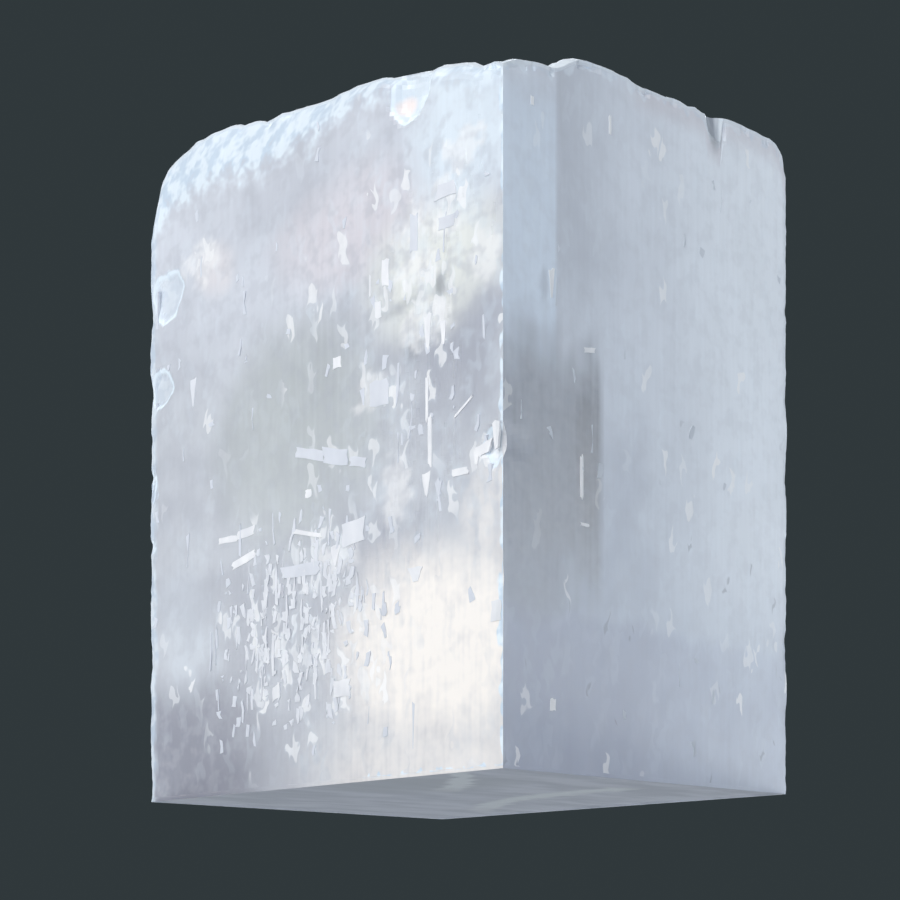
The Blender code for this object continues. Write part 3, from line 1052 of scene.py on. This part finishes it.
def calcite_material():
    """Milk of fine cleavage cracks over clear stone, mixed by how much each place holds."""
    f = Finish("milky_calcite")
    u, v, h = edge_coordinates(f)
    below, chip, broken = f.attribute("below_top"), f.attribute("chip_depth"), f.attribute("broken")
    colour = f.node("ShaderNodeAttribute", {"attribute_name": "stone_colour"}).outputs["Color"]
    lights = f.node("ShaderNodeAttribute", {"attribute_name": "lights"}).outputs["Vector"]
    lights = f.node("ShaderNodeSeparateXYZ", None, {0: lights}).outputs
    painted_glow_and_shade, lively, milk = (Value(f, light) for light in lights)
    across = u + v
    on_left = (u - v).rise(-0.01, 0.01) * v.rise(BACK_SEAM + SEAM_BLUR, BACK_SEAM - SEAM_BLUR)
    on_back = v.rise(BACK_SEAM - SEAM_BLUR, BACK_SEAM + SEAM_BLUR)
    shift = on_left * LEFT_SHIFT + on_back * BACK_SHIFT
    x = across + shift
    upright = broken.rise(-0.6, -0.1)
    y = h + broken.size() * (v - u)

    streak = f.noise(x, h, STREAK_GRAIN, detail=1, roughness=0.65)
    wobble = f.noise(x, y, WOBBLE_GRAIN, detail=0)
    patchy = f.noise(x, y, PATCH_GRAIN, detail=2, roughness=0.65)
    dash_far, dash_chance = f.cells(x * DASH_GRAIN[0] + wobble * 1.3, y * DASH_GRAIN[1] + wobble * 0.8)

    # Soft patches where the hidden cleavage lies at a depth of its own
    mottle = dash_far.rise(0.55, 0.2) * dash_chance[0].rise(0.3, 0.9) * upright
    grain = 0.42 * streak + 0.62 * patchy
    # Painted glow of light and painted shade from the stone's corners, broken up by the grain
    glow = (painted_glow_and_shade.most(0) * (0.42 + grain) - mottle * 0.16).most(0).least(1)
    shade = painted_glow_and_shade.least(0) * (-0.48 - grain)
    colour = f.blend(mottle * (0.09 + 0.42 * lively), colour, FROST)
    dull = patchy.rise(0.58, 0.30) * (0.14 + (0.12 + 0.25 * lively) * on_left) * upright
    colour = f.blend(dull, colour, LAVENDER)
    # Painted warm glow
    colour = f.blend(glow, colour, PAINTED_GLOW_TINT)

    # Dashes and flakes of parted cleavage that catch the light
    dashes = dash_far.rise(0.36, 0.28) * (dash_chance[0] + lively * 0.5).rise(0.98, 1.03)
    bright = dashes * (0.25 + 0.45 * dash_chance[1]) * upright

    # Bruised and broken stone: the band under the top, the chips and the worn far edge, with a painted
    # highlight along the near edge
    reach = BAND_LEAST + (BAND_MOST - BAND_LEAST) * u.rise(*BAND_WIDENS)
    ragged_reach = reach + (patchy - 0.5) * 8 - below
    band = ragged_reach.rise(-2.6, 0.8) * 0.6 + ragged_reach.rise(-0.4, 0.6) * 0.3
    band = band * on_left * v.rise(9, 3)
    rim = (0.9 + (wobble - 0.5) * 2.5 - below).rise(-0.2, 0.4) * 0.4
    bruised = chip + (wobble - 0.5) * 0.1
    sunk = bruised.rise(0.25, 0.5)
    on_left_face = f.flat(u, h)
    heart = f.spot(on_left_face, *TOP_CHIP)
    bruise = (bruised.rise(0.06, 0.16) - sunk * (0.55 - 0.45 * heart)) * on_left
    ragged = (streak - 0.5) * 1.2 + (wobble - 0.5) * 1.6
    # Painted highlight: a bright line down the near edge of the left face, running on along its foot
    near = (0.35 + ragged - across.least(h + u.rise(18, 32) * 4)).rise(-0.1, 0.2) * upright
    far = (u + ragged * 0.6).rise(LEFT_EDGE - 1.6, LEFT_EDGE - 0.6) * v.rise(3, 0.5) * 0.7
    # Frost of the band, rim, chips, worn far edge and broken top, with the painted highlight of the near
    # edge
    frost_and_edge_highlight = band.most(rim).most(bruise).most(near.most(far) * on_left).most(broken)

    rime = f.blend(patchy.rise(0.38, 0.60).most(bruise), RIME, FROST)
    colour = f.blend((frost_and_edge_highlight * (0.8 + 0.3 * patchy)).least(1), colour, rime)
    colour = f.blend(f.spot(on_left_face, *CHIP_LIGHT) * sunk, colour, PEACH)
    colour = f.blend(broken.most(0) * 0.7, colour, CHALK)
    # Painted shade in slate
    colour = f.blend(shade.least(1), colour, SLATE)
    specks = dash_far.rise(0.18, 0.06) * dash_chance[2].rise(0.94, 0.96) * (1 - on_left) * h.rise(48, 40)
    colour = f.blend(specks * 0.4, colour, SLATE)
    colour = f.blend((bright * (1 - frost_and_edge_highlight)).least(1), colour, WHITE)

    # The stone grows milkier under the painted glow and clearer under the painted shade
    milk = milk + 0.3 * glow - 0.35 * shade + (streak - 0.5) * (0.06 + 0.2 * lively)
    share = milk.most(0.05).most(bright).most(frost_and_edge_highlight * 0.9).least(1)
    f.material.cycles.homogeneous_volume = True
    f.material.cycles.volume_sampling = "DISTANCE"
    tint = {"Color": (0.80, 0.90, 1.0, 1), "Density": 6.0}
    stone = f.milky_stone(share, colour, 0.36 + 0.3 * frost_and_edge_highlight, (0.94, 0.97, 1.0, 1), 0.28)
    return f.close(stone, f.node("ShaderNodeVolumeAbsorption", None, tint))


def splinter_material():
    """Stone parted from the block by thin air, white where it turns the light back."""
    f = Finish("parted_calcite")
    u, v, h = edge_coordinates(f)
    patch = f.noise(u + v, h, SPLINTER_GRAIN, detail=2)
    whiteness = f.attribute("whiteness")
    stone = f.blend(u.rise(0.8, 1.0), (0.56, 0.61, 0.68), (0.68, 0.72, 0.80))
    colour = f.blend((whiteness * (0.5 + patch)).least(1), stone, WHITE)
    return f.close(f.milky_stone(0.85 + patch * 0.15, colour, 0.30, (0.96, 0.98, 1.0, 1), 0.12))


# ---------------- stage, lights and camera


def make_floor():
    """Pale floor, open under the block so that light comes up through it, and seen only from above."""
    bm = bmesh.new()
    near, far_left, far_right = OPENING_INSET, LEFT_EDGE - OPENING_INSET, RIGHT_EDGE - OPENING_INSET
    opening = ((near, near), (near, far_right), (far_left, far_right), (far_left, near))
    outer = [bm.verts.new((FLOOR_REACH * x, FLOOR_REACH * y, -FLOOR_DROP)) for x, y in SQUARE]
    inner = [bm.verts.new((*place(u, v, 0).xy, -FLOOR_DROP)) for u, v in opening]
    for i in range(4):
        bm.faces.new((outer[i], outer[i - 1], inner[i - 1], inner[i]))
    for face in bm.faces:
        face.normal_update()
        if face.normal.z < 0:
            face.normal_flip()
    floor = object_of(bm, "floor")
    f = Finish("pale_floor")
    pale = f.node("ShaderNodeBsdfDiffuse", None, {"Color": (0.72, 0.73, 0.74, 1)})
    unseen = f.node("ShaderNodeBsdfTransparent")
    under = f.node("ShaderNodeNewGeometry").outputs["Backfacing"]
    mix = f.node("ShaderNodeMixShader", None, {0: under, 1: pale.outputs[0], 2: unseen.outputs[0]})
    floor.data.materials.append(f.close(mix))


def make_world():
    """Soft light from all round, with a dark room behind the block."""
    world = bpy.data.worlds.new("studio")
    bpy.context.scene.world = world
    world.use_nodes = True
    sky = Wiring(world.node_tree)
    seen = sky.node("ShaderNodeBackground", None, {"Color": (0.030, 0.040, 0.044, 1)})
    soft = sky.node("ShaderNodeBackground", None, {"Color": (0.86, 0.92, 1.0, 1), "Strength": 0.40})
    straight = sky.node("ShaderNodeLightPath").outputs["Is Camera Ray"]
    mix = sky.node("ShaderNodeMixShader", None, {0: straight, 1: soft.outputs[0], 2: seen.outputs[0]})
    sky.node("ShaderNodeOutputWorld", None, {"Surface": mix.outputs[0]})


def area_light(name, position, target, size, power, colour):
    """Flat lamp turned to its target; places in metres, power in watts."""
    light = bpy.data.lights.new(name, "AREA")
    light.shape = "RECTANGLE"
    light.size, light.size_y = size
    light.energy = power
    light.color = colour
    lamp = bpy.data.objects.new(name, light)
    lamp.location = position
    lamp.rotation_euler = (target - Vector(position)).to_track_quat("-Z", "Y").to_euler()
    bpy.context.scene.collection.objects.link(lamp)


def make_lights():
    """A window to the left, a weak cool fill to the right and a glow from behind."""
    middle = place(LEFT_EDGE / 2, RIGHT_EDGE / 2, 40)
    area_light("window", (-0.36, -0.62, 0.26), middle, (0.5, 0.5), 4.05, (1.0, 0.985, 0.97))
    area_light("right_fill", (0.52, -0.60, 0.10), middle, (0.4, 0.5), 0.9, (0.86, 0.93, 1.0))
    area_light("back_glow", (0.10, 0.55, 0.45), middle, (0.5, 0.4), 4.0, (0.92, 0.96, 1.0))


def make_camera():
    """Looks square at the near upright edge, a little below the floor's level, and slightly up."""
    turn = Matrix.Rotation(CAMERA_TURN, 3, RISE_DIRECTION)
    forward = turn @ Vector((0, RISE_DIRECTION.z, -RISE_DIRECTION.y))
    right = forward.cross(RISE_DIRECTION)
    position = place(0, 0, CAMERA_UP_EDGE) + MM * (CAMERA_ASIDE * right - CAMERA_DISTANCE * forward)
    data = bpy.data.cameras.new("camera")
    data.lens = CAMERA_LENS
    data.sensor_width = SENSOR_WIDTH
    data.clip_start = CLIP_START
    camera = bpy.data.objects.new("camera", data)
    axes = Matrix((right, RISE_DIRECTION, -forward)).transposed()
    camera.matrix_world = Matrix.Translation(position) @ axes.to_4x4()
    bpy.context.scene.collection.objects.link(camera)
    bpy.context.scene.camera = camera


bpy.context.scene.view_settings.view_transform = "Standard"
make_camera()
block = make_cleaved_surface()
block.data.materials.append(calcite_material())
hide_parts("calcite_block")
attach(block, "root")
splinters = make_splinters(splinter_material())
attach(splinters, "root")
make_floor()
make_world()
make_lights()
